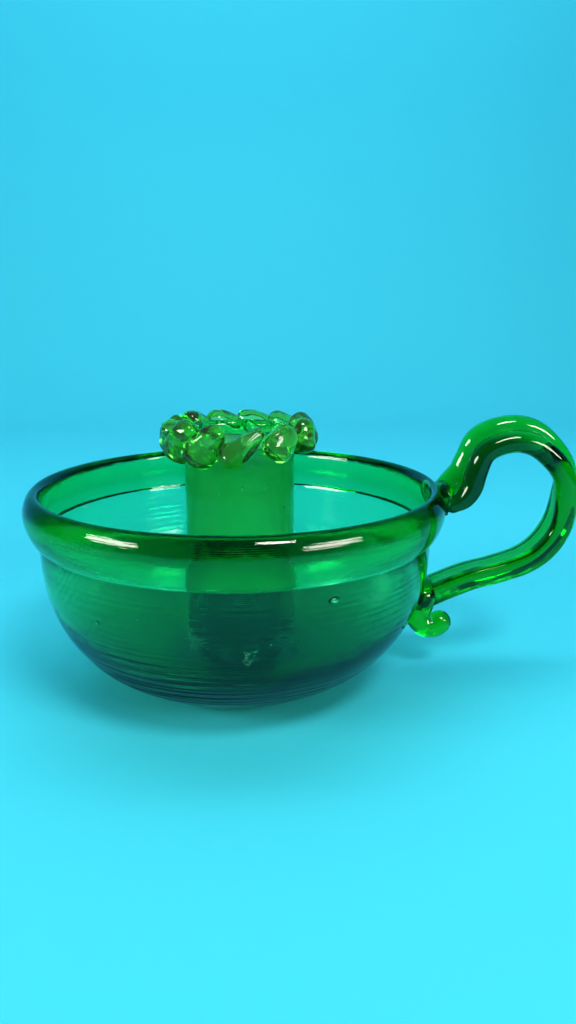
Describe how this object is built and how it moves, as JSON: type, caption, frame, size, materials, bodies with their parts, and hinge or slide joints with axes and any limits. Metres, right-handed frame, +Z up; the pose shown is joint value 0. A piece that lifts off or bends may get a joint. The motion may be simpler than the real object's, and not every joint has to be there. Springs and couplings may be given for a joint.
{
  "type": "chamber candlestick",
  "caption": "Hand-blown green glass chamber candlestick: round bowl with a folded rim, a tall candle socket with a lobed collar, and a twisted strap handle with a curled tail.",
  "frame": {"origin": "centre of the flat ground base, on the bowl's axis", "axes": "+Z up along the bowl's axis, +X towards the handle, +Y to the side away from the viewer who has the handle on the right"},
  "size_m": [0.1542, 0.114, 0.0748],
  "materials": {
    "bowl_glass": "clear emerald green, fire polished, with faint tooling rings and a few seeds",
    "socket_glass": "emerald green glass, milky on the inside down to a ragged edge",
    "collar_glass": "clear bright green, fire polished",
    "handle_glass": "clear deep green, fire polished, smooth"
  },
  "bodies": {
    "root": {"bowl": "bowl_glass", "socket_stub": "bowl_glass", "candle_socket": "socket_glass", "collar_lobe_01": "collar_glass", "collar_lobe_02": "collar_glass", "collar_lobe_03": "collar_glass", "collar_lobe_04": "collar_glass", "collar_lobe_05": "collar_glass", "collar_lobe_06": "collar_glass", "collar_lobe_07": "collar_glass", "collar_lobe_08": "collar_glass", "collar_lobe_09": "collar_glass", "collar_lobe_10": "collar_glass", "collar_lobe_11": "collar_glass", "collar_lobe_12": "collar_glass", "handle_front_cane": "handle_glass", "handle_rear_cane": "handle_glass", "handle_tail_scroll": "handle_glass", "handle_rim_seal": "handle_glass", "handle_wall_seal": "handle_glass"}
  },
  "joints": []
}
